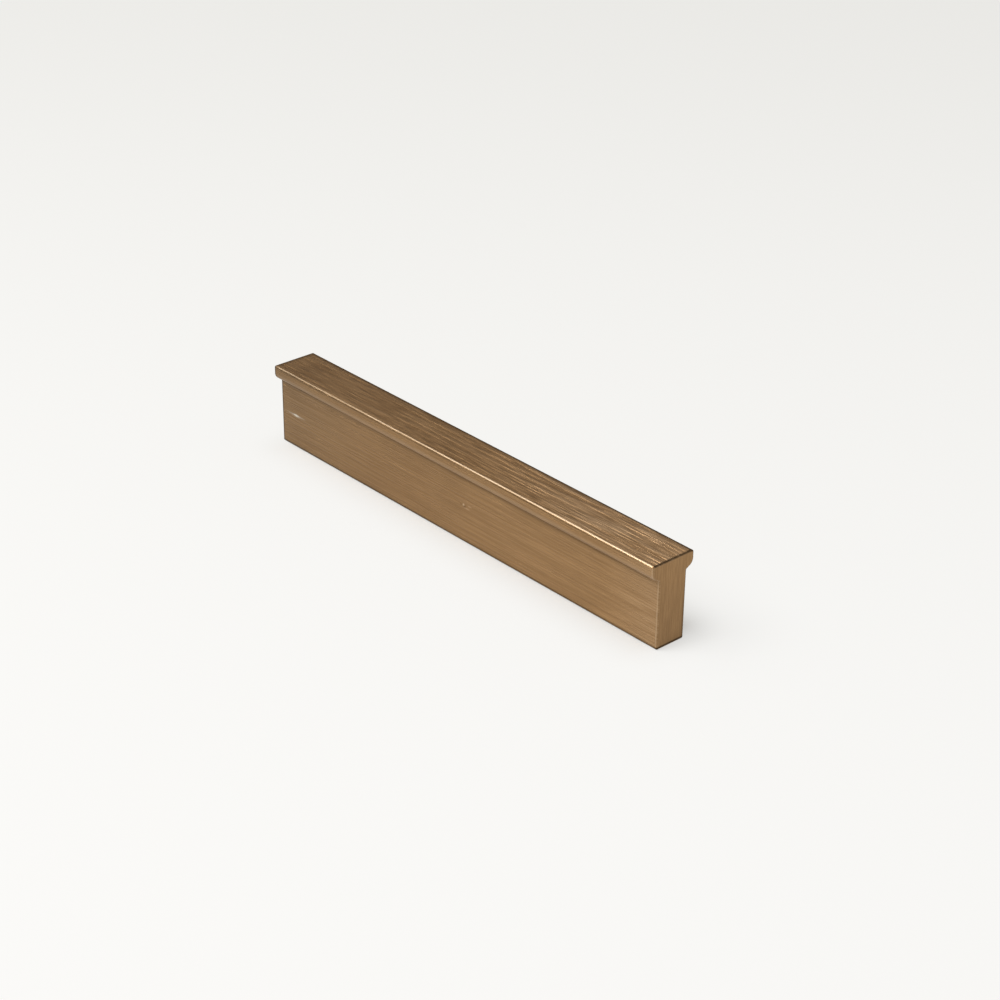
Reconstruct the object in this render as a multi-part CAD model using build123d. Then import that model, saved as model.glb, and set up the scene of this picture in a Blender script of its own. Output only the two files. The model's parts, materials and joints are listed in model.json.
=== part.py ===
from build123d import *

import os
from math import isclose, radians, tan

# A bar pull for a drawer or a door: one solid bar of T section, brushed along its length, with a lip
# on both sides for the fingers to hook under and two holes tapped into its foot for fixing screws.
# X runs along the bar, Z points away from the drawer front, and the section lies across them in YZ.
# The origin is the middle of the foot, which is the flat face that meets the drawer front.
# Lengths are in millimetres and angles in degrees.

# Bar
hole_spacing = 128.0
end_margin = 16.0
projection = 25.6
stem_width = 9.8

# Lip: its depth is measured from the top face down to the neck, where the bevel meets the stem
lip_overhang = 2.45
lip_depth = 5.0
bevel_angle = 28.0

# Roundings of the section, from the foot up, and of the two sawn ends
foot_edge_radius = 0.5
neck_radius = 0.4
nose_radius = 2.2
top_edge_radius = 0.6
end_edge_radius = 0.4

# Blind fixing holes, tapped M4: drilled to the tapping size, with a drill point and a lead-in that
# opens a little wider than the thread
thread_diameter = 4.0
thread_pitch = 0.7
tapped_depth = 12.0
drill_point_angle = 118.0
lead_in_angle = 90.0
lead_in_clearance = 0.2

# Sizes that follow from the ones above
bar_length = hole_spacing + 2 * end_margin
half_stem = stem_width / 2
half_lip = half_stem + lip_overhang
neck_height = projection - lip_depth
nose_height = neck_height + lip_overhang * tan(radians(bevel_angle))
tapping_radius = (thread_diameter - thread_pitch) / 2
lead_in_radius = thread_diameter / 2 + lead_in_clearance


def t_section():
    """The section of the bar in its own plane, with every corner rounded."""
    right_side = [
        (half_stem, 0),
        (half_stem, neck_height),
        (half_lip, nose_height),
        (half_lip, projection),
    ]
    left_side = [(-across, up) for across, up in reversed(right_side)]
    section = make_face(Polyline(*right_side, *left_side, close=True))
    roundings = {
        0: foot_edge_radius,
        neck_height: neck_radius,
        nose_height: nose_radius,
        projection: top_edge_radius,
    }
    for height, radius in roundings.items():
        corners = section.vertices().filter_by(lambda corner: isclose(corner.Y, height, abs_tol=1e-6))
        section = fillet(corners, radius)
    return section


def tapped_hole():
    """The metal that a fixing hole takes away, standing on the foot and centred on Z."""
    lead_in_depth = (lead_in_radius - tapping_radius) / tan(radians(lead_in_angle / 2))
    point_depth = tapping_radius / tan(radians(drill_point_angle / 2))
    half_outline = Polyline(
        (0, 0),
        (lead_in_radius, 0),
        (tapping_radius, lead_in_depth),
        (tapping_radius, tapped_depth),
        (0, tapped_depth + point_depth),
        close=True,
    )
    return revolve(Plane.XZ * make_face(half_outline), Axis.Z)


def pull_bar():
    """The whole pull: the section run to length, its ends eased, and its foot drilled."""
    bar = extrude(Plane.YZ * t_section(), amount=bar_length / 2, both=True)
    bar = fillet(bar.faces().filter_by(Axis.X).edges(), end_edge_radius)
    for side in (-1, 1):
        bar -= Pos(side * hole_spacing / 2, 0, 0) * tapped_hole()
    return bar


os.makedirs("parts", exist_ok=True)
export_step(pull_bar(), "parts/pull_bar.step")
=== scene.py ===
"""Looks of a brushed bronze bar pull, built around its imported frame.

The bar is drawn again as a fine mesh, with round edges and real threads in its fixing holes, and is dressed
in brushed metal. Sizes are in millimetres, as on a drawing, unless a name says otherwise. X runs along the
bar, Z points away from the drawer front, and the origin is the middle of the foot.
"""

import json
import logging
import math
from dataclasses import dataclass, field
from enum import Enum
from functools import reduce

import bpy
import numpy as np
from mathutils import Matrix, Vector


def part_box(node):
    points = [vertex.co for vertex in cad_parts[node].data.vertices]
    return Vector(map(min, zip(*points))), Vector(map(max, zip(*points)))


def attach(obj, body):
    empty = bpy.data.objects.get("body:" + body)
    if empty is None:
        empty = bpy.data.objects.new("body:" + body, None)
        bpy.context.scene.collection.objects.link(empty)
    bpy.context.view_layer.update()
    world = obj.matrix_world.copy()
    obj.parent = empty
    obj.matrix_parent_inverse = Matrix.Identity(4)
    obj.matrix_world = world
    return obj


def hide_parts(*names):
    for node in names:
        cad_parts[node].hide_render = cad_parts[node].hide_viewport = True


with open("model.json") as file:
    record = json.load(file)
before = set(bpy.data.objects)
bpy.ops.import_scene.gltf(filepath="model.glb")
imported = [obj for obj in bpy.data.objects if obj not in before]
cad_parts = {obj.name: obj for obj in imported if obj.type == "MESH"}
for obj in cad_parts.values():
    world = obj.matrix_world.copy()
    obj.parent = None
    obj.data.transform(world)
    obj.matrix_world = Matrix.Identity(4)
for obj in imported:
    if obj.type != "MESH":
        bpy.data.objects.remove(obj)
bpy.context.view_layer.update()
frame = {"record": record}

log = logging.getLogger("bar_pull")

MM = 0.001
CAD_NODE = "pull_bar"
CAD_BODY = "root"
UV_NAME = "OFBake"
# Per point: wear, painted highlights and painted shade of the edges
WEAR_AND_LIGHT_ATTRIBUTE = "edge_wear_and_light"

Colour = tuple[float, float, float]
Place = tuple[float, float, float]
Span = tuple[float, float]

# Painted shade: in dents and along dark edges, and towards the low end of the front
PAINTED_SHADE: Colour = (0.10, 0.055, 0.025)
LOW_END_SHADE: Colour = (0.06, 0.09, 0.085)


class Finish(Enum):
    """The finishes on the bar, numbered as its material slots."""

    SIDES = 0
    TOP = 1
    ENDS = 2
    THREAD = 3


class Touch(Enum):
    """How the long sides of the bar are treated: fingers hook round one, rubbed with a painted highlight on
    its top edge, and the other gets painted shade there.
    """

    HANDLED = "handled"
    LEFT_ALONE = "left alone"


@dataclass(frozen=True)
class Corner:
    """A corner of an outline: its place, its rounding, and its wear, painted highlights and painted shade.

    Wear is 1 where hands rub the metal bright, with a painted highlight, and -1 where painted shade makes
    it dark and dull. It is given at even steps round the corner, and fades out over some length of the
    flats before and after.
    """

    place: complex
    radius: float
    steps: int
    wear: tuple[float, ...]
    fade: Span


@dataclass
class Outline:
    """A rounded outline: points and outward normals as complex numbers, across and up, with their wear and
    painted light.
    """

    points: np.ndarray
    normals: np.ndarray
    wear: np.ndarray

    def mirrored(self) -> "Outline":
        """Returns the outline of the other side, in the order that carries this one on."""
        return Outline(-self.points.conj()[::-1], -self.normals.conj()[::-1], self.wear[::-1])

    def followed_by(self, other: "Outline") -> "Outline":
        """Returns this outline with another one after it."""
        return Outline(
            np.concatenate([self.points, other.points]),
            np.concatenate([self.normals, other.normals]),
            np.concatenate([self.wear, other.wear]),
        )


@dataclass
class TSection:
    """The bar's cross section, a T with a bevelled lip on both sides."""

    height: float
    lip_width: float
    stem_width: float = 9.8
    lip_depth: float = 5.0
    bevel_angle: float = math.radians(28.0)
    foot_radius: float = 0.5
    neck_radius: float = 0.4
    nose_radius: float = 2.2
    top_radius: float = 0.6

    def corners(self, touch: Touch) -> list[Corner]:
        """Lists the corners of one side.

        Args:
            touch: how the side is treated.

        Returns:
            The corners, from the foot up.
        """
        half_stem = self.stem_width / 2
        half_lip = self.lip_width / 2
        neck = self.height - self.lip_depth
        nose = neck + (half_lip - half_stem) * math.tan(self.bevel_angle)
        top = complex(half_lip, self.height)
        # Handled top edge: a painted dark line just below, then rubbed metal with a painted highlight on it
        rubbed = (-0.4, -0.4, -0.2, 1.0, 1.0, 0.9, 0.0)
        # The other top edge gets painted shade all round it
        tops = {
            Touch.HANDLED: Corner(top, self.top_radius, steps=12, wear=rubbed, fade=(0.3, 0.1)),
            Touch.LEFT_ALONE: Corner(top, self.top_radius, steps=12, wear=(-1.0,), fade=(0.1, 1.0)),
        }
        # Painted shade at the foot, where it meets the floor, and in the neck under the lip; a painted
        # sheen on the nose
        return [
            Corner(complex(half_stem, 0.0), self.foot_radius, steps=10, wear=(-0.75,), fade=(0.3, 0.6)),
            Corner(complex(half_stem, neck), self.neck_radius, steps=8, wear=(-0.5,), fade=(1.1, 0.3)),
            Corner(complex(half_lip, nose), self.nose_radius, steps=20, wear=(0.2,), fade=(0.3, 0.3)),
            tops[touch],
        ]

    def side(self, touch: Touch) -> Outline:
        """Rounds one side.

        Args:
            touch: how the side is treated.

        Returns:
            The side's outline, from the foot's flat to the top's flat.
        """
        corners = self.corners(touch)
        path = [0j, *(corner.place for corner in corners), complex(0.0, self.height)]
        roundings = [self.rounding(*stretch) for stretch in zip(path, corners, path[2:])]
        return reduce(Outline.followed_by, roundings)

    @staticmethod
    def rounding(before: complex, corner: Corner, after: complex) -> Outline:
        """Rounds one corner of a path.

        Args:
            before: the path's point before the corner.
            corner: the corner.
            after: the path's point after it.

        Returns:
            The arc that takes the corner's place, with a point on each flat where its wear has faded out.
        """
        come = (corner.place - before) / abs(corner.place - before)
        leave = (after - corner.place) / abs(after - corner.place)
        turn = np.angle(leave / come)
        start = corner.place - corner.radius * math.tan(abs(turn) / 2) * come
        share = np.linspace(0.0, 1.0, corner.steps + 1)
        normals = -1j * come * np.exp(1j * turn * share)
        points = start + math.copysign(corner.radius, turn) * (normals - normals[0])
        before_arc = points[0] - corner.fade[0] * come
        after_arc = points[-1] + corner.fade[1] * leave
        wear = np.interp(share, np.linspace(0.0, 1.0, len(corner.wear)), corner.wear)
        return Outline(
            np.concatenate([[before_arc], points, [after_arc]]),
            np.concatenate([normals[:1], normals, normals[-1:]]),
            np.concatenate([[0.0], wear, [0.0]]),
        )


class MeshDraft:
    """A mesh being drawn: points, and faces with a normal and a place on the map at each corner."""

    def __init__(self) -> None:
        """Starts an empty draft."""
        self.points: list[np.ndarray] = []
        self.wear: list[np.ndarray] = []
        self.count = 0
        self.faces: list[list[int]] = []
        self.normals: list[np.ndarray] = []
        self.places: list[np.ndarray] = []
        self.finishes: list[int] = []

    def add_points(self, points: np.ndarray, wear: np.ndarray | None = None) -> np.ndarray:
        """Adds points.

        Args:
            points: places in any layout, with x, y and z last.
            wear: the wear, painted highlights and painted shade at each point, or nothing for none.

        Returns:
            The points' numbers, in the same layout.
        """
        layout = points.shape[:-1]
        total = int(np.prod(layout))
        self.points.append(points.reshape(-1, 3))
        self.wear.append(np.zeros(total) if wear is None else wear.reshape(-1))
        numbers = np.arange(self.count, self.count + total).reshape(layout)
        self.count += total
        return numbers

    def add_faces(
        self, numbers: np.ndarray, normals: np.ndarray, places: np.ndarray, finish: Finish
    ) -> None:
        """Adds faces that all have as many corners.

        Args:
            numbers: the corners' point numbers, one row for each face.
            normals: the normal at each corner.
            places: the place on the map of each corner.
            finish: what the faces wear.
        """
        self.faces.extend(numbers.tolist())
        self.normals.append(normals.reshape(-1, 3))
        self.places.append(places.reshape(-1, 2))
        self.finishes.extend([finish.value] * len(numbers))

    def add_grid(
        self, numbers: np.ndarray, normals: np.ndarray, places: np.ndarray, finish: Finish
    ) -> None:
        """Adds the quads between neighbouring rows and columns of a grid.

        Args:
            numbers: the grid's point numbers. Its normals point from columns crossed with rows.
            normals: the normal at each point.
            places: the place on the map of each point.
            finish: what the faces wear.
        """

        def quads(values: np.ndarray) -> np.ndarray:
            """Gathers the corners of each quad.

            Args:
                values: the values at the grid's points.

            Returns:
                The four corner values of each quad.
            """
            ring = (values[:-1, :-1], values[:-1, 1:], values[1:, 1:], values[1:, :-1])
            corners = np.stack(ring, axis=2)
            return corners.reshape(-1, *corners.shape[2:])

        self.add_faces(quads(numbers), quads(normals), quads(places), finish)

    def to_object(self, name: str) -> bpy.types.Object:
        """Makes the mesh and its object.

        Args:
            name: the object's name.

        Returns:
            The new object, in the scene.
        """
        mesh = bpy.data.meshes.new(name)
        mesh.from_pydata(np.concatenate(self.points) * MM, [], self.faces)
        mesh.polygons.foreach_set("material_index", self.finishes)
        mesh.polygons.foreach_set("use_smooth", [True] * len(self.faces))
        layer = mesh.uv_layers.new(name=UV_NAME)
        layer.uv.foreach_set("vector", np.concatenate(self.places).astype(np.float32).ravel())
        wear = mesh.attributes.new(WEAR_AND_LIGHT_ATTRIBUTE, "FLOAT", "POINT")
        wear.data.foreach_set("value", np.concatenate(self.wear).astype(np.float32))
        mesh.normals_split_custom_set(np.concatenate(self.normals))
        piece = bpy.data.objects.new(name, mesh)
        bpy.context.scene.collection.objects.link(piece)
        return piece


@dataclass
class SurfaceMap:
    """The bar's surface laid flat in the unit square, with the grain of the metal along U everywhere."""

    width: float
    height: float
    margin: float = 0.004

    def places(self, along: np.ndarray, across: np.ndarray) -> np.ndarray:
        """Turns lengths on the flat map into its unit square.

        Args:
            along: lengths along the grain.
            across: lengths across the grain.

        Returns:
            Places on the map, with u and v last.
        """
        inner = 1.0 - 2.0 * self.margin
        u = self.margin + inner * along / self.width
        v = self.margin + inner * across / self.height
        return np.stack([u, v], axis=-1)

    def scale(self) -> tuple[float, float, float]:
        """Returns the millimetres that the unit square measures along and across the grain."""
        inner = 1.0 - 2.0 * self.margin
        return self.width / inner, self.height / inner, 0.0


@dataclass
class TappedHole:
    """A blind fixing hole in the foot, with its thread, lead-in and drill point."""

    centre: float
    tapping_radius: float
    thread_radius: float = 2.0
    pitch: float = 0.7
    depth: float = 12.0
    lead_in_radius: float = 2.2
    drill_point: float = math.radians(118.0)
    flank_angle: float = math.radians(30.0)
    root_share: float = 1.0 / 8.0
    run_out: float = 1.6
    tip_on_map: float = 0.01
    sides: int = 48
    rows_per_turn: int = 12

    def radius(self, angle: np.ndarray, depth: np.ndarray) -> np.ndarray:
        """Gives the wall's distance from the axis.

        Args:
            angle: angles round the axis.
            depth: depths below the foot's face.

        Returns:
            The radii, with the thread cut in and the lead-in opened.
        """
        groove = self.thread_radius - self.tapping_radius
        flank = groove * math.tan(self.flank_angle)
        half_root = self.pitch * self.root_share / 2
        from_root = np.abs((depth / self.pitch - angle / math.tau) % 1.0 - 0.5) * self.pitch
        cut = np.clip((half_root + flank - from_root) / flank, 0.0, 1.0)
        fade = np.clip((self.depth - depth) / self.run_out, 0.0, 1.0)
        return np.maximum(self.tapping_radius + groove * cut * fade, self.lead_in_radius - depth)

    def draw(self, draft: MeshDraft, chart: SurfaceMap, corner: complex) -> np.ndarray:
        """Draws the hole's wall and point.

        Args:
            draft: the mesh to draw in.
            chart: the map of the surface.
            corner: where the wall starts on the map, along and across.

        Returns:
            The numbers of the points round the mouth.
        """
        row_count = round(self.depth / self.pitch * self.rows_per_turn)
        angles = np.linspace(0.0, math.tau, self.sides + 1)
        depths = np.linspace(0.0, self.depth, row_count + 1)
        angle, depth = np.meshgrid(angles, depths)
        radius = self.radius(angle, depth)
        points = np.stack(
            [self.centre + radius * np.cos(angle), radius * np.sin(angle), depth], axis=-1
        )
        round_axis = np.stack([-np.sin(angle), np.cos(angle), np.zeros_like(angle)], axis=-1)
        outward = np.stack([np.cos(angle), np.sin(angle), np.zeros_like(angle)], axis=-1)
        slope = np.gradient(radius, depths, axis=0)[..., None]
        twist = (np.gradient(radius, angles, axis=1) / radius)[..., None]
        normals = slope * np.array([0.0, 0.0, 1.0]) + twist * round_axis - outward
        normals /= np.linalg.norm(normals, axis=-1, keepdims=True)
        places = chart.places(corner.real + angle * self.tapping_radius, corner.imag + depth)
        numbers = draft.add_points(points[:, :-1])
        numbers = np.concatenate([numbers, numbers[:, :1]], axis=1)
        draft.add_grid(numbers.T, normals.swapaxes(0, 1), places.swapaxes(0, 1), Finish.THREAD)
        self.draw_point(draft, numbers[-1], places[-1], angles)
        return numbers[0]

    def draw_point(
        self, draft: MeshDraft, rim: np.ndarray, rim_places: np.ndarray, angles: np.ndarray
    ) -> None:
        """Draws the cone that the drill's point leaves.

        Args:
            draft: the mesh to draw in.
            rim: the point numbers of the wall's last row.
            rim_places: their places on the map.
            angles: their angles round the axis.
        """
        half = self.drill_point / 2
        rise = self.tapping_radius / math.tan(half)
        apex = draft.add_points(np.array([self.centre, 0.0, self.depth + rise]))
        faces = np.stack([rim[:-1], np.full(self.sides, apex), rim[1:]], axis=1)
        normal = np.stack(
            [-np.cos(angles) * math.cos(half), -np.sin(angles) * math.cos(half),
             np.full_like(angles, -math.sin(half))],
            axis=-1,
        )
        middle = normal[:-1] + normal[1:]
        middle /= np.linalg.norm(middle, axis=-1, keepdims=True)
        normals = np.stack([normal[:-1], middle, normal[1:]], axis=1)
        tip = (rim_places[:-1] + rim_places[1:]) / 2
        tip[:, 1] += self.tip_on_map
        places = np.stack([rim_places[:-1], tip, rim_places[1:]], axis=1)
        draft.add_faces(faces, normals, places, Finish.THREAD)


@dataclass
class PullBar:
    """The pull: one bar of T section, its sawn ends eased and its foot drilled and tapped.

    The low end is the one at negative x. The fields from end_fade to the one before map_gap say how the
    ends are worn and where their edges get painted highlights and painted shade: how far this reaches, how
    much of it each edge has, and how steeply it fades round the edge.
    """

    section: TSection
    length: float
    hole_spacing: float
    tapping_radius: float
    end_radius: float = 0.4
    end_steps: int = 10
    end_fade: float = 0.5
    top_fade: float = 1.5
    # How strong the painted highlight on the high end's front edges and the painted shade on the other end
    # edges are, and how they fade round the edge
    end_highlight: float = 0.5
    highlight_edge_power: float = 8.0
    under_highlight: float = 0.8
    end_shade: float = -1.0
    low_end_share: float = 0.75
    end_foot_share: float = 1.35
    back_edge_power: float = 0.4
    back_lean: float = 0.3
    # A little painted shade low on the ends, near the floor
    end_foot_shade: float = -0.13
    foot_shade_height: float = 1.5
    map_gap: float = 1.5
    name: str = "brushed_pull_bar"
    side: Outline = field(init=False)
    loop: Outline = field(init=False)
    lengths: np.ndarray = field(init=False)
    chart: SurfaceMap = field(init=False)

    def __post_init__(self) -> None:
        """Works out the whole outline and the map of the surface."""
        self.side = self.section.side(Touch.LEFT_ALONE)
        self.loop = self.side.followed_by(self.section.side(Touch.HANDLED).mirrored())
        steps = np.abs(np.diff(self.loop.points))
        self.lengths = np.concatenate([[0.0], np.cumsum(steps)])
        arc = self.end_radius * (math.pi / 2 - 1.0)
        self.chart = SurfaceMap(
            width=self.length + 2 * arc,
            height=self.lengths[-1] + 2 * self.foot_half() + self.map_gap + self.section.lip_width,
        )

    @classmethod
    def from_frame(cls, record: dict) -> "PullBar":
        """Reads the bar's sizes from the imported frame.

        Args:
            record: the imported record.

        Returns:
            The bar to draw.
        """
        low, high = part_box(CAD_NODE)
        size = (high - low) / MM
        holes = next(mount for mount in record["mounts"] if mount["kind"] == "bolt_pattern")["dims"]
        return cls(
            section=TSection(height=size.z, lip_width=size.y),
            length=size.x,
            hole_spacing=holes["spacing_x_mm"],
            tapping_radius=holes["hole_r_mm"],
        )

    def foot_half(self) -> float:
        """Returns half the width of the foot's flat."""
        return self.side.points[0].real

    def stations(self) -> tuple[np.ndarray, np.ndarray]:
        """Lists the places along the bar where its outline is drawn.

        Returns:
            The distances from the middle to the start of each end's rounding, or less, and the angles that
            the rounding has turned there, negative at the low end.
        """
        straight = self.length / 2 - self.end_radius
        drilled = [
            side * self.hole_spacing / 2 + reach
            for side in (-1, 1)
            for reach in (-self.foot_half(), self.foot_half())
        ]
        flat = [self.end_fade - straight, self.top_fade - straight, *drilled, straight - self.end_fade]
        turns = np.linspace(0.0, math.pi / 2, self.end_steps + 1)
        along = np.concatenate([np.full_like(turns, -straight), flat, np.full_like(turns, straight)])
        turn = np.concatenate([-turns[::-1], np.zeros(len(flat)), turns])
        return along, turn

    def build(self) -> bpy.types.Object:
        """Draws the bar and returns its object, undressed."""
        draft = MeshDraft()
        skin, places = self.draw_skin(draft)
        self.draw_ends(draft, skin)
        self.draw_foot(draft, skin, places)
        return draft.to_object(self.name)

    def draw_skin(self, draft: MeshDraft) -> tuple[np.ndarray, np.ndarray]:
        """Draws the sides, the top and the roundings of the ends.

        Args:
            draft: the mesh to draw in.

        Returns:
            The point numbers and their places on the map, a row for each station.
        """
        along, turn = self.stations()
        along, turn = along[:, None], turn[:, None]
        inset = self.end_radius * (1.0 - np.cos(turn))
        outline = self.loop.points[None, :] - inset * self.loop.normals[None, :]
        x = along + self.end_radius * np.sin(turn)
        points = np.stack([np.broadcast_to(x, outline.shape), outline.real, outline.imag], axis=-1)
        lean = np.cos(turn) * self.loop.normals[None, :]
        ahead = np.broadcast_to(np.sin(turn), outline.shape)
        normals = np.stack([ahead, lean.real, lean.imag], axis=-1)
        numbers = draft.add_points(points, self.skin_wear(along, turn))
        places = self.chart.places(
            self.chart.width / 2 + np.broadcast_to(along + self.end_radius * turn, outline.shape),
            np.broadcast_to(self.lengths[None, :], outline.shape),
        )
        half = len(self.side.points)
        spans = (
            (slice(None, half - 1), Finish.SIDES),
            (slice(half - 2, half + 2), Finish.TOP),
            (slice(half + 1, None), Finish.SIDES),
        )
        for span, finish in spans:
            draft.add_grid(numbers[:, span], normals[:, span], places[:, span], finish)
        return numbers, places

    def skin_wear(self, along: np.ndarray, turn: np.ndarray) -> np.ndarray:
        """Gives the wear, painted highlights and painted shade of the skin's points.

        Args:
            along: the stations' distances, as a column.
            turn: the angle that the end's rounding has turned at each station, as a column.

        Returns:
            The wear and painted light, a row for each station. The high end's front side gets a painted
            highlight on its edges, below the lip too. The other edges of the ends get painted shade, and so
            does the foot all round. The low end's painted shade reaches some way on to the top, and a
            little more lies low on the ends.
        """
        straight = self.length / 2 - self.end_radius
        inward = straight - np.abs(along)
        high_end = along > 0.0
        height = self.loop.points.imag
        foot = height <= self.section.foot_radius
        handled = (self.loop.points.real < 0.0) & ~foot
        up = np.clip(self.loop.normals.imag, 0.0, 1.0)
        under = np.clip(-self.loop.normals.imag, 0.0, 1.0)
        # Painted highlight on the front edges of the high end
        rubbed = np.where(handled & high_end, 1.0 - up, 0.0)
        # The edges of the ends, with their painted highlights and painted shade, and how much of them shows
        low_end_share = self.low_end_share + (1.0 - self.low_end_share) * up
        dark = self.end_shade * np.where(high_end, 1.0, low_end_share)
        end_light_and_shade = self.end_highlight * rubbed * (1.0 + under) + dark * (1.0 - rubbed)
        front_power = 1.0 + (self.highlight_edge_power - 1.0) * rubbed
        power = np.where(self.loop.normals.real > self.back_lean, self.back_edge_power, front_power)
        on_top = np.where(high_end, 0.0, up * np.clip(1.0 - inward / self.top_fade, 0.0, 1.0) ** 2)
        edge = np.where(inward > 0.0, on_top, np.clip(np.cos(turn), 0.0, 1.0) ** power)
        # The long edges, with their wear, painted highlights and painted shade, of which only the foot's
        # painted shade goes on round the ends; under the lip at the high end's front, a painted highlight
        lit_underside = handled & (along >= straight - self.end_fade)
        wear_and_underside_highlight = np.maximum(self.loop.wear, self.under_highlight * under)
        side_wear = np.where(lit_underside, wear_and_underside_highlight, self.loop.wear)
        lasting = np.where(foot, 1.0 + (self.end_foot_share - 1.0) * np.sin(turn) ** 2, np.cos(turn))
        # Painted shade low on the ends, near the floor
        foot_shade = np.where(height < self.foot_shade_height, self.end_foot_shade * np.sin(turn) ** 2, 0.0)
        return side_wear * lasting * (1.0 - edge) + end_light_and_shade * edge + foot_shade

    def draw_ends(self, draft: MeshDraft, skin: np.ndarray) -> None:
        """Draws the flats of the sawn ends, as strips from side to side.

        Args:
            draft: the mesh to draw in.
            skin: the skin's point numbers.
        """
        half = len(self.side.points)
        outline = self.loop.points - self.end_radius * self.loop.normals
        bottom = self.lengths[-1] + 2 * self.foot_half() + self.map_gap + self.section.lip_width / 2
        for end, row in ((-1, skin[0]), (1, skin[-1])):
            start = 0.0 if end < 0 else self.section.height + self.map_gap
            spots = self.chart.places(start + outline.imag, bottom + end * outline.real)
            normals = np.broadcast_to(np.array([end, 0.0, 0.0]), (*row.shape, 3))
            right = slice(None, half)
            left = slice(None, half - 1, -1)
            pair = (left, right) if end > 0 else (right, left)
            draft.add_grid(
                np.stack([row[part] for part in pair], axis=1),
                np.stack([normals[part] for part in pair], axis=1),
                np.stack([spots[part] for part in pair], axis=1),
                Finish.ENDS,
            )

    def draw_foot(self, draft: MeshDraft, skin: np.ndarray, places: np.ndarray) -> None:
        """Draws the foot's flat, with its holes.

        Args:
            draft: the mesh to draw in.
            skin: the skin's point numbers.
            places: their places on the map.
        """
        turn = self.stations()[1]
        # The low end's rounding and two fades come before the first hole
        first = self.end_steps + 3
        drilled = (first, first + 2)
        down = np.stack([np.sin(turn), np.zeros_like(turn), -np.cos(turn)], axis=-1)
        columns = np.stack([skin[:, -1], skin[:, 0]], axis=1)
        normals = np.stack([down, down], axis=1)
        far = places[:, -1].copy()
        far[:, 1] = self.foot_places(np.zeros(1), np.array([self.foot_half()]))[0, 1]
        spots = np.stack([places[:, -1], far], axis=1)
        for start in range(len(skin) - 1):
            if start not in drilled:
                span = slice(start, start + 2)
                draft.add_grid(columns[span], normals[span], spots[span], Finish.SIDES)
        for start, side in zip(drilled, (-1, 1)):
            self.draw_mouth(draft, columns[start:start + 2], side)

    def foot_places(self, x: np.ndarray, y: np.ndarray) -> np.ndarray:
        """Maps points of the foot's flat.

        Args:
            x: places along the bar.
            y: places across it.

        Returns:
            Places on the map.
        """
        return self.chart.places(self.chart.width / 2 + x, self.lengths[-1] + self.foot_half() + y)

    def draw_mouth(self, draft: MeshDraft, corners: np.ndarray, side: int) -> None:
        """Draws a fixing hole and the square of the foot round its mouth.

        Args:
            draft: the mesh to draw in.
            corners: the square's point numbers, low end first, left side first.
            side: which hole, by the sign of its place along the bar.
        """
        centre = side * self.hole_spacing / 2
        hole = TappedHole(centre, self.tapping_radius)
        turn_length = math.tau * self.tapping_radius
        slot = 2 * (self.section.height + self.map_gap) + (side + 1) / 2 * (turn_length + self.map_gap)
        band = self.lengths[-1] + 2 * self.foot_half() + self.map_gap
        mouth = hole.draw(draft, self.chart, complex(slot, band))
        reach = self.foot_half()
        quarter = hole.sides // 4
        square = [corners[1, 1], corners[0, 1], corners[0, 0], corners[1, 0]]
        square_x = centre + reach * np.array([1.0, -1.0, -1.0, 1.0])
        square_y = reach * np.array([1.0, 1.0, -1.0, -1.0])
        angles = np.linspace(0.0, math.tau, hole.sides + 1)
        mouth_x = centre + hole.lead_in_radius * np.cos(angles)
        mouth_y = hole.lead_in_radius * np.sin(angles)
        faces, x, y = [], [], []
        for number in range(4):
            previous = (number - 1) % 4
            start = number * quarter
            faces.append((square[number], square[previous], mouth[start]))
            x.append((square_x[number], square_x[previous], mouth_x[start]))
            y.append((square_y[number], square_y[previous], mouth_y[start]))
            for step in range(start, start + quarter):
                faces.append((square[number], mouth[step], mouth[step + 1]))
                x.append((square_x[number], mouth_x[step], mouth_x[step + 1]))
                y.append((square_y[number], mouth_y[step], mouth_y[step + 1]))
        normals = np.broadcast_to(np.array([0.0, 0.0, -1.0]), (len(faces), 3, 3))
        draft.add_faces(
            np.array(faces), normals, self.foot_places(np.array(x), np.array(y)), Finish.SIDES
        )


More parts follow.
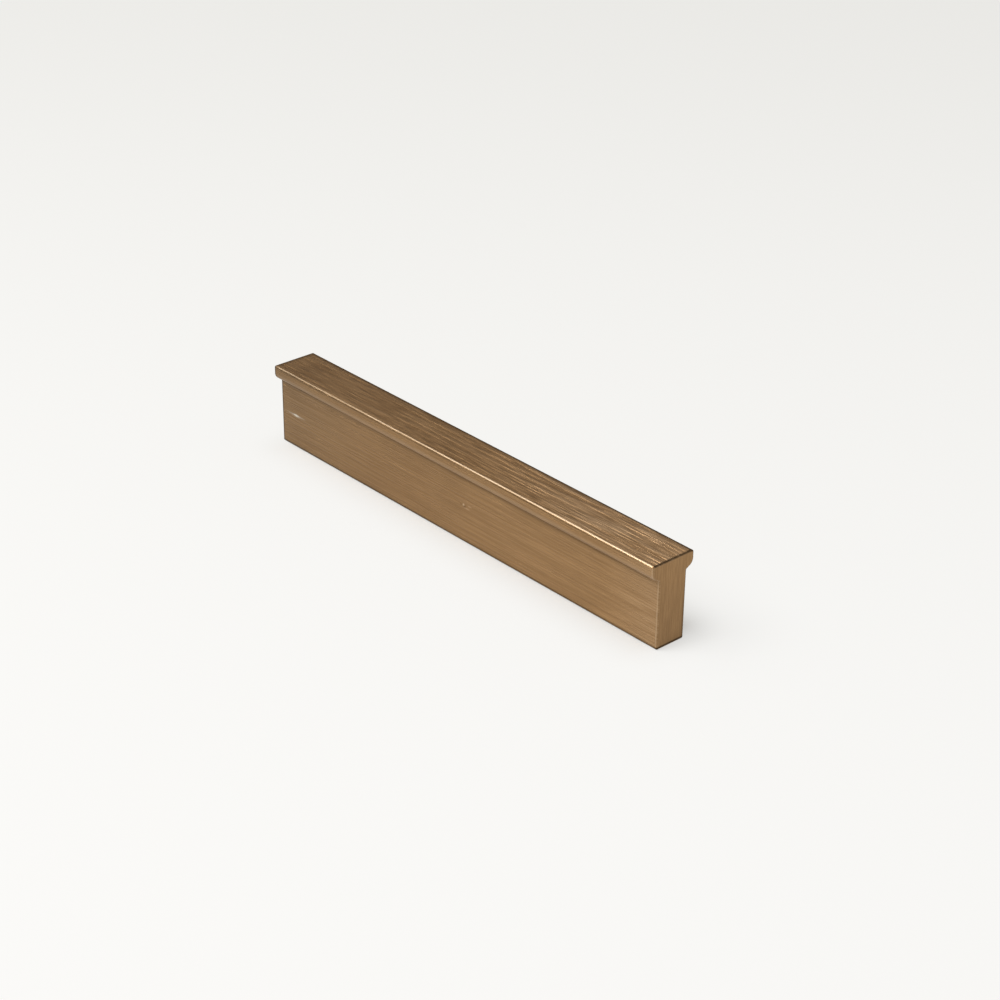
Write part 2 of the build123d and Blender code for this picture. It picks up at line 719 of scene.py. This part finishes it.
class Graph:
    """A node tree being drawn, with short calls for the nodes that the finishes need."""

    def __init__(self, tree: bpy.types.NodeTree) -> None:
        """Starts on an empty or new tree."""
        self.tree = tree

    def node(self, kind: str, **settings: object) -> bpy.types.Node:
        """Adds a node.

        Args:
            kind: the node's type, without its ShaderNode.
            settings: properties to set on it.

        Returns:
            The new node.
        """
        made = self.tree.nodes.new("ShaderNode" + kind)
        for key, value in settings.items():
            setattr(made, key, value)
        return made

    def feed(self, socket: bpy.types.NodeSocket, value: object) -> None:
        """Links a socket to an output, or sets it to a plain value.

        Args:
            socket: the socket to feed.
            value: the output or the value, or nothing to leave the socket as it is.
        """
        if isinstance(value, bpy.types.NodeSocket):
            self.tree.links.new(value, socket)
        elif value is not None:
            socket.default_value = value

    def math(self, operation: str, *values: object) -> bpy.types.NodeSocket:
        """Adds a Math node.

        Args:
            operation: what it does.
            values: its inputs.

        Returns:
            Its value.
        """
        made = self.node("Math", operation=operation)
        for socket, value in zip(made.inputs, values):
            self.feed(socket, value)
        return made.outputs[0]

    def vector(self, operation: str, *values: object) -> bpy.types.NodeSocket:
        """Adds a Vector Math node.

        Args:
            operation: what it does.
            values: its inputs.

        Returns:
            Its vector, or its value for an operation that gives a number.
        """
        made = self.node("VectorMath", operation=operation)
        for socket, value in zip(made.inputs, values):
            self.feed(socket, value)
        return made.outputs["Value" if operation in ("LENGTH", "DOT_PRODUCT") else "Vector"]

    def weigh(self, *parts: tuple[bpy.types.NodeSocket, float]) -> bpy.types.NodeSocket:
        """Adds values up.

        Args:
            parts: the values, each with its weight.

        Returns:
            The sum.
        """
        weighted = [self.math("MULTIPLY", value, weight) for value, weight in parts]
        return reduce(lambda total, part: self.math("ADD", total, part), weighted)

    def ramp(
        self, value: object, low: float, high: float, to_low: object = 0.0, to_high: object = 1.0,
        smooth: bool = True,
    ) -> bpy.types.NodeSocket:
        """Maps a value from one range to another.

        Args:
            value: the value.
            low: where the range starts.
            high: where it ends.
            to_low: what the start becomes.
            to_high: what the end becomes.
            smooth: whether the way between is eased.

        Returns:
            The mapped value, held inside the new range.
        """
        made = self.node("MapRange", interpolation_type="SMOOTHSTEP" if smooth else "LINEAR")
        for socket, item in zip(made.inputs, (value, low, high, to_low, to_high)):
            self.feed(socket, item)
        return made.outputs[0]

    def noise(self, place: object, detail: float, roughness: float) -> bpy.types.NodeSocket:
        """Adds a Noise Texture of unit scale.

        Args:
            place: where it is read.
            detail: how many finer layers it has.
            roughness: how strong the finer layers are.

        Returns:
            Its value, about a half on average.
        """
        made = self.node("TexNoise", noise_dimensions="3D")
        self.feed(made.inputs["Vector"], place)
        made.inputs["Scale"].default_value = 1.0
        made.inputs["Detail"].default_value = detail
        made.inputs["Roughness"].default_value = roughness
        return made.outputs[0]

    def mix(self, share: object, first: object, second: object) -> bpy.types.NodeSocket:
        """Mixes two colours.

        Args:
            share: how much of the second colour.
            first: the first colour.
            second: the second colour.

        Returns:
            The mixed colour.
        """
        made = self.node("Mix", data_type="RGBA")
        colours = [socket for socket in made.inputs if socket.type == "RGBA"]
        self.feed(made.inputs[0], share)
        for socket, value in zip(colours, (first, second)):
            self.feed(socket, (*value, 1.0) if isinstance(value, tuple) else value)
        return next(socket for socket in made.outputs if socket.type == "RGBA")

    def group(self, effect: "Effect", **values: object) -> bpy.types.bpy_prop_collection:
        """Places a shared effect.

        Args:
            effect: the effect.
            values: its inputs by name, with an underscore for each space.

        Returns:
            The effect's outputs.
        """
        made = self.node("Group", node_tree=effect.tree)
        for key, value in values.items():
            self.feed(made.inputs[key.replace("_", " ").title()], value)
        return made.outputs


class Effect:
    """A shader node group that the finishes share."""

    title = "effect"
    takes: dict[str, str] = {}
    gives: dict[str, str] = {}

    def __init__(self) -> None:
        """Makes the group's tree and draws it."""
        self.tree = bpy.data.node_groups.new(self.title, "ShaderNodeTree")
        for name, kind in self.takes.items():
            self.tree.interface.new_socket(name, in_out="INPUT", socket_type="NodeSocket" + kind)
        for name, kind in self.gives.items():
            self.tree.interface.new_socket(name, in_out="OUTPUT", socket_type="NodeSocket" + kind)
        self.graph = Graph(self.tree)
        self.taken = self.tree.nodes.new("NodeGroupInput").outputs
        self.given = self.tree.nodes.new("NodeGroupOutput").inputs
        self.draw()

    def draw(self) -> None:
        """Draws the group's nodes."""
        raise NotImplementedError


@dataclass(frozen=True)
class LineKind:
    """A kind of brush line: its size as a share of the group's own, its finer layers, and its contrast."""

    length: float
    width: float
    detail: float
    contrast: Span


class BrushedGrain(Effect):
    """Brush lines along the grain, a little wavy: fine lines, streaks, broad bands and a few scratches."""

    title = "brushed grain"
    takes = {
        "Place": "Vector", "Line Length": "Float", "Line Width": "Float", "Sway": "Float", "Seed": "Float",
    }
    gives = {"Height": "Float", "Streak": "Float", "Fine": "Float"}
    fine = LineKind(length=0.4, width=0.45, detail=2.0, contrast=(0.3, 0.7))
    streak = LineKind(length=1.0, width=1.0, detail=0.6, contrast=(0.38, 0.66))
    band = LineKind(length=3.0, width=4.0, detail=1.0, contrast=(0.3, 0.7))
    scratch = LineKind(length=0.7, width=0.5, detail=1.0, contrast=(0.62, 0.74))
    line_roughness = 0.55
    seed_step = 7.3
    sway_spread = 0.2

    def draw(self) -> None:
        """Draws the group's nodes."""
        graph = self.graph
        split = graph.node("SeparateXYZ")
        graph.feed(split.inputs[0], self.taken["Place"])
        along = split.outputs[0]
        across = graph.math("ADD", split.outputs[1], self.wander(along, split.outputs[1]))
        fine = self.lines(self.fine, along, across)
        streak = self.lines(self.streak, along, across)
        band = self.lines(self.band, along, across)
        scratch = self.lines(self.scratch, along, across)
        graph.feed(self.given["Height"], graph.weigh((fine, 0.15), (streak, 0.85), (scratch, -0.4)))
        graph.feed(self.given["Streak"], graph.weigh((streak, 0.4), (fine, 0.4), (band, 0.2)))
        graph.feed(self.given["Fine"], fine)

    def wander(self, along: object, across: object) -> bpy.types.NodeSocket:
        """Makes the lines wavy.

        Args:
            along: the place along the grain.
            across: the place across it.

        Returns:
            How far the lines leave their straight course.
        """
        graph = self.graph
        place = graph.node("CombineXYZ")
        graph.feed(place.inputs[0], graph.math("DIVIDE", along, self.taken["Line Length"]))
        graph.feed(place.inputs[1], graph.math("MULTIPLY", across, self.sway_spread))
        graph.feed(place.inputs[2], self.taken["Seed"])
        swing = graph.math("SUBTRACT", graph.noise(place.outputs[0], detail=1.0, roughness=0.5), 0.5)
        return graph.math("MULTIPLY", swing, self.taken["Sway"])

    def lines(self, kind: LineKind, along: object, across: object) -> bpy.types.NodeSocket:
        """Draws lines of one kind.

        Args:
            kind: the kind of line.
            along: the place along the grain.
            across: the place across it.

        Returns:
            The lines' height, from 0 to 1.
        """
        graph = self.graph
        place = graph.node("CombineXYZ")
        length = graph.math("MULTIPLY", self.taken["Line Length"], kind.length)
        width = graph.math("MULTIPLY", self.taken["Line Width"], kind.width)
        graph.feed(place.inputs[0], graph.math("DIVIDE", along, length))
        graph.feed(place.inputs[1], graph.math("DIVIDE", across, width))
        graph.feed(place.inputs[2], graph.math("ADD", self.taken["Seed"], kind.width * self.seed_step))
        height = graph.noise(place.outputs[0], kind.detail, self.line_roughness)
        return graph.ramp(height, *kind.contrast)


class EdgeWearAndShade(Effect):
    """Edges rubbed bright by hands and cloths, with painted highlights, and edges painted dark as painted
    shade, both unevenly.
    """

    title = "edge wear and painted light"
    takes = {"Wear": "Float", "Use": "Float", "Point": "Vector"}
    gives = {"Rubbed": "Float", "Dark": "Float"}
    patch_scale = (0.15, 0.5, 0.5)
    patch_contrast = (0.3, 0.7)
    rubbed_share = (0.7, 1.0)
    dark_share = (0.85, 1.0)

    def draw(self) -> None:
        """Draws the group's nodes."""
        graph = self.graph
        place = graph.vector("MULTIPLY", self.taken["Point"], self.patch_scale)
        patches = graph.noise(place, detail=3.0, roughness=0.6)
        rubbed = graph.ramp(self.taken["Wear"], 0.0, 1.0, smooth=False)
        rubbed = graph.math("MULTIPLY", rubbed, self.taken["Use"])
        # Negative wear gives the painted shade
        dark = graph.ramp(self.taken["Wear"], 0.0, -1.0, smooth=False)
        rubbed_patches = graph.ramp(patches, *self.patch_contrast, *self.rubbed_share)
        dark_patches = graph.ramp(patches, *self.patch_contrast, *self.dark_share)
        graph.feed(self.given["Rubbed"], graph.math("MULTIPLY", rubbed, rubbed_patches))
        graph.feed(self.given["Dark"], graph.math("MULTIPLY", dark, dark_patches))


class TonePatches(Effect):
    """Broad, soft changes of tone, as a hand-finished metal has."""

    title = "tone patches"
    takes = {"Point": "Vector", "Size": "Float"}
    gives = {"Tone": "Float"}
    contrast = (0.3, 0.7)

    def draw(self) -> None:
        """Draws the group's nodes."""
        graph = self.graph
        place = graph.vector("DIVIDE", self.taken["Point"], self.taken["Size"])
        patches = graph.noise(place, detail=2.0, roughness=0.5)
        graph.feed(self.given["Tone"], graph.ramp(patches, *self.contrast))


class SpotMask(Effect):
    """A soft oval spot round a point."""

    title = "spot mask"
    takes = {"Point": "Vector", "Centre": "Vector", "Half Size": "Vector"}
    gives = {"Mask": "Float"}

    def draw(self) -> None:
        """Draws the group's nodes."""
        graph = self.graph
        away = graph.vector("SUBTRACT", self.taken["Point"], self.taken["Centre"])
        reach = graph.vector("LENGTH", graph.vector("DIVIDE", away, self.taken["Half Size"]))
        graph.feed(self.given["Mask"], graph.ramp(reach, 0.0, 1.0, 1.0, 0.0))


@dataclass
class Effects:
    """The shared effects, each made once."""

    grain: BrushedGrain = field(default_factory=BrushedGrain)
    # Wear, painted highlights and painted shade on the edges
    wear: EdgeWearAndShade = field(default_factory=EdgeWearAndShade)
    tone: TonePatches = field(default_factory=TonePatches)
    spot: SpotMask = field(default_factory=SpotMask)


@dataclass(frozen=True)
class Mark:
    """A mark on the surface, such as a nick or a pit, with painted glints and painted shade on it.

    It has a middle, a reach from there along each axis, a strength from 0 to 1, and a colour.
    """

    centre: Place
    reach: Place
    strength: float
    colour: Colour


@dataclass(frozen=True)
class BrushedBronze:
    """The outside finish: brown bronze, brushed along the bar and up its ends.

    Some values change along the bar, from the first at the start of their range to the second at its end:
    cut is how deep the brush lines are, use how bright the rubbed edges and their painted highlights are,
    and sheen how bright the painted sheen on the surface between them is. The lines are shallower on worn
    edges, by worn_cut over worn_range. Edges with painted shade turn dull over dull_range.
    """

    name: str
    deep: Colour = (0.252, 0.143, 0.062)
    pale: Colour = (0.397, 0.236, 0.107)
    # rubbed is rubbed metal and the colour of painted highlights and painted sheen; dark is painted shade
    rubbed: Colour = (0.56, 0.42, 0.285)
    dark: Colour = (0.026, 0.016, 0.008)
    roughness: float = 0.36
    roughness_change: float = 0.06
    rubbed_roughness: float = 0.30
    anisotropy: float = 0.92
    grain_turn: float = 0.25
    line_length: float = 26.0
    line_width: float = 0.5
    sway: float = 0.1
    seed: float = 1.7
    groove_depth: float = 0.075
    tone_size: float = 22.0
    streak_share: float = 0.8
    cut: Span = (1.0, 0.65)
    cut_range: Span = (-80.0, 80.0)
    worn_cut: Span = (1.0, 0.1)
    worn_range: Span = (0.0, 0.5)
    # use: how bright the rubbed edges and their painted highlights are along the bar
    use: Span = (0.62, 0.94)
    use_range: Span = (-80.0, 15.0)
    # Painted sheen on the flats, brighter towards the high end
    sheen: Span = (0.0, 0.0)
    sheen_range: Span = (5.0, 55.0)
    streak_sheen: float = 2.0
    dull_range: Span = (0.4, 1.0)
    marks: tuple[Mark, ...] = ()

    def material(self, effects: Effects, chart: SurfaceMap) -> bpy.types.Material:
        """Makes the finish.

        Args:
            effects: the shared effects.
            chart: the map of the surface.

        Returns:
            The material.
        """
        made, graph, shader = new_metal(self.name, self.anisotropy, self.grain_turn)
        point = object_point(graph)
        split = graph.node("SeparateXYZ")
        graph.feed(split.inputs[0], point)
        along = split.outputs[0]
        lines = graph.group(
            effects.grain, place=map_place(graph, chart), line_length=self.line_length,
            line_width=self.line_width, sway=self.sway, seed=self.seed,
        )
        edge = graph.node("Attribute", attribute_name=WEAR_AND_LIGHT_ATTRIBUTE).outputs["Fac"]
        # Rubbed edges and their painted highlights grow brighter towards the high end, and so does the
        # painted sheen
        use = graph.ramp(along, *self.use_range, *self.use)
        wear = graph.group(effects.wear, wear=edge, use=use, point=point)
        sheen = graph.ramp(along, *self.sheen_range, *self.sheen)
        sheen = graph.math("MULTIPLY", sheen, graph.math("MULTIPLY", lines["Streak"], self.streak_sheen))
        tone = graph.group(effects.tone, point=point, size=self.tone_size)["Tone"]
        shade = graph.weigh((lines["Streak"], self.streak_share), (tone, 1.0 - self.streak_share))
        colour = graph.mix(shade, self.deep, self.pale)
        # Rubbed metal, painted highlights and painted sheen, then painted shade
        colour = graph.mix(graph.math("MAXIMUM", wear["Rubbed"], sheen), colour, self.rubbed)
        colour = graph.mix(wear["Dark"], colour, self.dark)
        graph.feed(shader.inputs["Base Color"], self.marked(graph, effects, point, colour))
        # Painted shade turns dull as well as dark
        metal = graph.ramp(wear["Dark"], *self.dull_range, 1.0, 0.0, smooth=False)
        graph.feed(shader.inputs["Metallic"], metal)
        graph.feed(shader.inputs["Roughness"], self.gloss(graph, lines["Fine"], wear["Rubbed"]))
        cut = graph.ramp(along, *self.cut_range, *self.cut)
        cut = graph.math("MULTIPLY", cut, graph.ramp(edge, *self.worn_range, *self.worn_cut, smooth=False))
        graph.feed(shader.inputs["Normal"], bump(graph, lines["Height"], self.groove_depth, cut))
        return made

    def marked(
        self, graph: Graph, effects: Effects, point: bpy.types.NodeSocket, colour: bpy.types.NodeSocket
    ) -> bpy.types.NodeSocket:
        """Lays the marks over a colour.

        Args:
            graph: the material's graph.
            effects: the shared effects.
            point: the point on the bar.
            colour: the colour there without marks.

        Returns:
            The colour with them.
        """
        for mark in self.marks:
            spot = graph.group(effects.spot, point=point, centre=mark.centre, half_size=mark.reach)
            share = graph.math("MULTIPLY", spot["Mask"], mark.strength)
            colour = graph.mix(share, colour, mark.colour)
        return colour

    def gloss(
        self, graph: Graph, fine: bpy.types.NodeSocket, rubbed: bpy.types.NodeSocket
    ) -> bpy.types.NodeSocket:
        """Varies the roughness with the finest lines, and smooths what is rubbed.

        Args:
            graph: the material's graph.
            fine: the finest lines.
            rubbed: how far the metal is rubbed.

        Returns:
            The roughness.
        """
        half_change = self.roughness_change / 2
        smoothest, roughest = self.roughness - half_change, self.roughness + half_change
        rough = graph.ramp(fine, 0.0, 1.0, smoothest, roughest, smooth=False)
        return graph.ramp(rubbed, 0.0, 1.0, rough, self.rubbed_roughness, smooth=False)


@dataclass(frozen=True)
class BareThread:
    """The finish of the tapped holes: bare yellow metal, cut round and round."""

    name: str = "bare thread"
    deep: Colour = (0.50, 0.33, 0.15)
    pale: Colour = (0.66, 0.46, 0.23)
    roughness: float = 0.32
    anisotropy: float = 0.5
    grain_turn: float = 0.25
    line_length: float = 4.0
    line_width: float = 0.12
    sway: float = 0.1
    seed: float = 5.1
    groove_depth: float = 0.002
    tone_size: float = 3.0

    def material(self, effects: Effects, chart: SurfaceMap) -> bpy.types.Material:
        """Makes the finish.

        Args:
            effects: the shared effects.
            chart: the map of the surface.

        Returns:
            The material.
        """
        made, graph, shader = new_metal(self.name, self.anisotropy, self.grain_turn)
        lines = graph.group(
            effects.grain, place=map_place(graph, chart), line_length=self.line_length,
            line_width=self.line_width, sway=self.sway, seed=self.seed,
        )
        tone = graph.group(effects.tone, point=object_point(graph), size=self.tone_size)["Tone"]
        shade = graph.weigh((lines["Streak"], 0.5), (tone, 0.5))
        graph.feed(shader.inputs["Base Color"], graph.mix(shade, self.deep, self.pale))
        shader.inputs["Roughness"].default_value = self.roughness
        graph.feed(shader.inputs["Normal"], bump(graph, lines["Height"], self.groove_depth))
        return made


def new_metal(
    name: str, anisotropy: float, turn: float
) -> tuple[bpy.types.Material, Graph, bpy.types.Node]:
    """Starts a metal whose gloss is stretched across its grain.

    Args:
        name: the material's name.
        anisotropy: how far the gloss is stretched.
        turn: the turn from the grain to the stretch, where 1 is a full turn.

    Returns:
        The material, its graph and its shader.
    """
    made = bpy.data.materials.new(name)
    made.use_nodes = True
    graph = Graph(made.node_tree)
    shader = made.node_tree.nodes["Principled BSDF"]
    shader.inputs["Metallic"].default_value = 1.0
    shader.inputs["Specular IOR Level"].default_value = 0.0
    shader.inputs["Anisotropic"].default_value = anisotropy
    shader.inputs["Anisotropic Rotation"].default_value = turn
    tangent = graph.node("Tangent", direction_type="UV_MAP", uv_map=UV_NAME)
    graph.feed(shader.inputs["Tangent"], tangent.outputs[0])
    return made, graph, shader


def map_place(graph: Graph, chart: SurfaceMap) -> bpy.types.NodeSocket:
    """Returns the place on the flat map, in millimetres along and across the grain."""
    unit = graph.node("UVMap", uv_map=UV_NAME).outputs[0]
    return graph.vector("MULTIPLY", unit, chart.scale())


def object_point(graph: Graph) -> bpy.types.NodeSocket:
    """Returns the point on the bar, in millimetres."""
    point = graph.node("TexCoord").outputs["Object"]
    return graph.vector("DIVIDE", point, (MM, MM, MM))


def bump(graph: Graph, height: object, depth: float, strength: object = 1.0) -> bpy.types.NodeSocket:
    """Turns a height into a normal.

    Args:
        graph: the graph to draw in.
        height: the height, from 0 to 1.
        depth: the depth that the whole range stands for.
        strength: how much of the height shows.

    Returns:
        The normal.
    """
    made = graph.node("Bump")
    made.inputs["Distance"].default_value = depth * MM
    graph.feed(made.inputs["Strength"], strength)
    graph.feed(made.inputs["Height"], height)
    return made.outputs[0]


@dataclass
class PhotoCamera:
    """The camera, at the photograph's viewing angle."""

    azimuth: float = 48.077
    elevation: float = 28.133
    roll: float = 0.646
    distance: float = 657.48
    target: Place = (2.786, 9.429, 7.905)
    lens: float = 83.70
    sensor: float = 36.0
    clip_start: float = 10.0

    def build(self) -> bpy.types.Object:
        """Makes the camera, makes it the scene's own, and returns it."""
        azimuth, elevation = math.radians(self.azimuth), math.radians(self.elevation)
        flat = math.cos(elevation)
        back = Vector((math.sin(azimuth) * flat, -math.cos(azimuth) * flat, math.sin(elevation)))
        data = bpy.data.cameras.new("camera")
        data.lens = self.lens
        data.sensor_width = self.sensor
        data.clip_start = self.clip_start * MM
        camera = bpy.data.objects.new("camera", data)
        roll = Matrix.Rotation(math.radians(self.roll), 3, "Z")
        turn = (-back).to_track_quat("-Z", "Y").to_matrix() @ roll
        place = (Vector(self.target) + back * self.distance) * MM
        camera.matrix_world = Matrix.Translation(place) @ turn.to_4x4()
        bpy.context.scene.collection.objects.link(camera)
        bpy.context.scene.camera = camera
        return camera


@dataclass(frozen=True)
class SoftBox:
    """A soft square lamp, aimed at the bar. Its places and sizes are in metres."""

    name: str
    place: Place
    width: float
    height: float
    radiance: float

    def build(self) -> bpy.types.Object:
        """Makes the lamp and returns it."""
        data = bpy.data.lights.new(self.name, "AREA")
        data.shape = "RECTANGLE"
        data.size = self.width
        data.size_y = self.height
        data.energy = self.radiance * math.pi * self.width * self.height
        lamp = bpy.data.objects.new(self.name, data)
        lamp.location = self.place
        lamp.rotation_mode = "QUATERNION"
        lamp.rotation_quaternion = Vector(self.place).to_track_quat("Z", "Y")
        lamp.visible_camera = False
        bpy.context.scene.collection.objects.link(lamp)
        return lamp


@dataclass(frozen=True)
class FloorShade:
    """A flat box on the floor, in metres, in and round which the floor shows more of its shadow.

    What it adds is its depth in the box, and falls to nothing at its reach, faster with a higher power.
    """

    centre: Place
    half: Place
    reach: float
    power: float
    depth: float

    def amount(self, graph: Graph, place: bpy.types.NodeSocket) -> bpy.types.NodeSocket:
        """Gives how much more the shadow shows.

        Args:
            graph: the floor's graph.
            place: the place on the floor.

        Returns:
            The amount, from the shade's depth in the box to none at its reach.
        """
        away = graph.vector("ABSOLUTE", graph.vector("SUBTRACT", place, self.centre))
        outside = graph.vector("MAXIMUM", graph.vector("SUBTRACT", away, self.half), (0.0, 0.0, 0.0))
        near = graph.ramp(graph.vector("LENGTH", outside), 0.0, self.reach, 1.0, 0.0, smooth=False)
        return graph.math("MULTIPLY", graph.math("POWER", near, self.power), self.depth)


@dataclass
class Studio:
    """The plain pale floor and the soft light round the bar. Its places and sizes are in metres.

    The floor keeps its shadow, and gives part of its paleness by itself, to the camera and to reflections
    alike. That part is smaller close to the bar, where the shadow is deepest. From below, the floor is
    clear, so that the foot can be looked at.
    """

    shades: tuple[FloorShade, ...]
    floor_radius: float = 9.0
    floor_sides: int = 96
    floor_drop: float = 0.00005
    floor_colour: Colour = (0.646, 0.642, 0.629)
    floor_roughness: float = 0.9
    # The floor's own paleness falls off towards the far side: painted falloff of light
    near_glow: Colour = (0.985, 0.978, 0.96)
    far_glow: Colour = (0.868, 0.861, 0.833)
    far_side: Place = (-0.744, 0.668, 0.0)
    glow_range: Span = (-0.3, 0.6)
    glow: float = 0.85
    sky: Colour = (0.25, 0.245, 0.23)
    backdrop: Colour = (0.76, 0.757, 0.735)
    window_sky: Colour = (0.70, 0.69, 0.665)
    window_range: Span = (-0.45, 0.65)
    lamps: tuple[SoftBox, ...] = (
        SoftBox("key_lamp", (-0.33, -0.63, 0.83), 0.52, 0.50, 12.0),
        SoftBox("side_lamp", (-0.71, -0.36, 0.90), 0.78, 0.66, 2.7),
    )

    def build(self) -> None:
        """Makes the floor, the sky's light and the lamps."""
        self.build_floor()
        self.build_sky()
        for lamp in self.lamps:
            lamp.build()

    def build_floor(self) -> None:
        """Makes the floor, a wide disc."""
        angles = np.linspace(0.0, math.tau, self.floor_sides, endpoint=False)
        rim = np.stack([np.cos(angles), np.sin(angles), np.zeros_like(angles)], axis=-1)
        mesh = bpy.data.meshes.new("floor")
        mesh.from_pydata(rim * self.floor_radius, [], [list(range(self.floor_sides))])
        floor = bpy.data.objects.new("floor", mesh)
        floor.location.z = -self.floor_drop
        bpy.context.scene.collection.objects.link(floor)
        mesh.materials.append(self.floor_material())

    def floor_material(self) -> bpy.types.Material:
        """Makes the floor's pale, dull finish and returns it."""
        made = bpy.data.materials.new("pale floor")
        made.use_nodes = True
        graph = Graph(made.node_tree)
        shader = made.node_tree.nodes["Principled BSDF"]
        shader.inputs["Base Color"].default_value = (*self.floor_colour, 1.0)
        shader.inputs["Roughness"].default_value = self.floor_roughness
        shader.inputs["Specular IOR Level"].default_value = 0.0
        glow = graph.node("Emission")
        place = graph.node("TexCoord").outputs["Object"]
        # Paler near, darker on the far side: painted falloff of light
        share = graph.ramp(graph.vector("DOT_PRODUCT", place, self.far_side), *self.glow_range)
        graph.feed(glow.inputs["Color"], graph.mix(share, self.near_glow, self.far_glow))
        ray = graph.node("LightPath").outputs
        seen = graph.math("MAXIMUM", ray["Is Camera Ray"], ray["Is Glossy Ray"])
        seen = graph.math("MAXIMUM", seen, ray["Is Transmission Ray"])
        mix = graph.node("MixShader")
        graph.feed(mix.inputs[0], graph.math("MULTIPLY", seen, self.glow_share(graph, place)))
        graph.feed(mix.inputs[1], shader.outputs[0])
        graph.feed(mix.inputs[2], glow.outputs[0])
        clear = graph.node("MixShader")
        graph.feed(clear.inputs[0], graph.node("NewGeometry").outputs["Backfacing"])
        graph.feed(clear.inputs[1], mix.outputs[0])
        graph.feed(clear.inputs[2], graph.node("BsdfTransparent").outputs[0])
        graph.feed(made.node_tree.nodes["Material Output"].inputs["Surface"], clear.outputs[0])
        return made

    def glow_share(self, graph: Graph, place: bpy.types.NodeSocket) -> bpy.types.NodeSocket:
        """Gives the share of the floor's own paleness.

        Args:
            graph: the floor's graph.
            place: the place on the floor.

        Returns:
            The share, which is smaller in the shades.
        """
        share = self.glow
        for shade in self.shades:
            share = graph.math("SUBTRACT", share, shade.amount(graph, place))
        return share

    def build_sky(self) -> None:
        """Makes the soft light that comes from all round, most of it from the high end's side."""
        world = bpy.data.worlds.new("studio")
        world.use_nodes = True
        graph = Graph(world.node_tree)
        split = graph.node("SeparateXYZ")
        graph.feed(split.inputs[0], graph.node("TexCoord").outputs["Generated"])
        share = graph.ramp(split.outputs[0], *self.window_range)
        light = graph.mix(share, self.sky, self.window_sky)
        seen = graph.node("LightPath").outputs["Is Camera Ray"]
        background = world.node_tree.nodes["Background"]
        graph.feed(background.inputs["Color"], graph.mix(seen, light, self.backdrop))
        bpy.context.scene.world = world


def front_marks(bar: PullBar) -> tuple[Mark, ...]:
    """Lists what shows on the front side: a nick near the low end with a painted glint, a pit past the
    middle with painted highlights and painted shade, and painted shade towards the low end.

    Args:
        bar: the bar.

    Returns:
        The marks.
    """
    front = -bar.section.stem_width / 2
    bright, glint, pit_rim_highlight = (0.86, 0.78, 0.66), (0.82, 0.63, 0.42), (0.75, 0.52, 0.31)
    return (
        # The nick: lighter bare metal with a painted glint
        Mark((-73.3, front, 10.75), (6.0, 0.3, 0.5), 0.45, bright),
        Mark((-73.1, front, 10.75), (2.0, 0.3, 0.6), 1.0, bright),
        # The pit: a painted glint, painted highlights along its rim and painted shade in it
        Mark((3.6, front, 11.75), (0.6, 0.3, 0.6), 0.6, glint),
        Mark((5.1, front, 11.0), (1.7, 0.3, 0.4), 0.3, pit_rim_highlight),
        Mark((6.1, front, 12.05), (1.4, 0.3, 0.4), 0.3, pit_rim_highlight),
        Mark((4.1, front, 11.35), (1.0, 0.3, 0.45), 0.6, PAINTED_SHADE),
        Mark((2.6, front, 11.5), (0.7, 0.3, 0.4), 0.4, PAINTED_SHADE),
        # Painted shade towards the low end
        Mark((-bar.length / 2, -6.0, 14.0), (60.0, 8.0, 40.0), 0.14, LOW_END_SHADE),
    )


def bar_finishes(bar: PullBar) -> dict[Finish, BrushedBronze | BareThread]:
    """Chooses what each part of the bar wears.

    Args:
        bar: the bar.

    Returns:
        The finishes.
    """
    # A painted dark line of shade along the high end's back edge
    back_edge_shade = Mark((bar.length / 2, 4.7, 4.0), (1.0, 1.2, 20.0), 0.7, PAINTED_SHADE)
    return {
        # The sides get a little painted sheen near the high end
        Finish.SIDES: BrushedBronze(
            name="brushed sides", sheen=(0.0, 0.11), sheen_range=(58.0, 80.0), marks=front_marks(bar)
        ),
        # The top's colours are a little redder than the sides': a painted tint for how light falls on the
        # top; its painted sheen grows towards the high end
        Finish.TOP: BrushedBronze(
            name="brushed top", deep=(0.252, 0.138, 0.058), pale=(0.397, 0.227, 0.099),
            line_length=18.0, line_width=1.15, sway=0.25, groove_depth=0.17,
            cut=(0.55, 1.0), cut_range=(-30.0, 60.0), sheen=(0.06, 0.18),
        ),
        Finish.ENDS: BrushedBronze(
            name="brushed ends", line_length=6.0, line_width=0.35, groove_depth=0.02,
            marks=(back_edge_shade,),
        ),
        Finish.THREAD: BareThread(),
    }


def floor_shades(bar: PullBar) -> tuple[FloorShade, ...]:
    """Chooses where the floor shows more of the bar's shadow.

    Args:
        bar: the bar.

    Returns:
        The shades: a faint one round the whole foot, and a deep one where the lip shelters the floor.
    """
    foot = (bar.length * MM / 2, bar.section.stem_width * MM / 2, 0.0)
    return (
        FloorShade((0.0, 0.0, 0.0), foot, reach=0.03, power=3.0, depth=0.02),
        FloorShade((0.0, 0.0015, 0.0), (0.074, 0.0065, 0.0), reach=0.016, power=2.0, depth=0.50),
    )


def main() -> None:
    """Builds the bar, dresses it, and sets up the studio and the camera."""
    logging.basicConfig(level=logging.INFO, format="%(message)s")
    bpy.context.scene.view_settings.view_transform = "Standard"
    bar = PullBar.from_frame(frame["record"])
    piece = bar.build()
    effects = Effects()
    finishes = bar_finishes(bar)
    for finish in Finish:
        piece.data.materials.append(finishes[finish].material(effects, bar.chart))
    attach(piece, CAD_BODY)
    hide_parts(CAD_NODE)
    log.info("%s: %d points, %d faces", piece.name, len(piece.data.vertices), len(piece.data.polygons))
    Studio(shades=floor_shades(bar)).build()
    PhotoCamera().build()


if __name__ == "__main__":
    main()
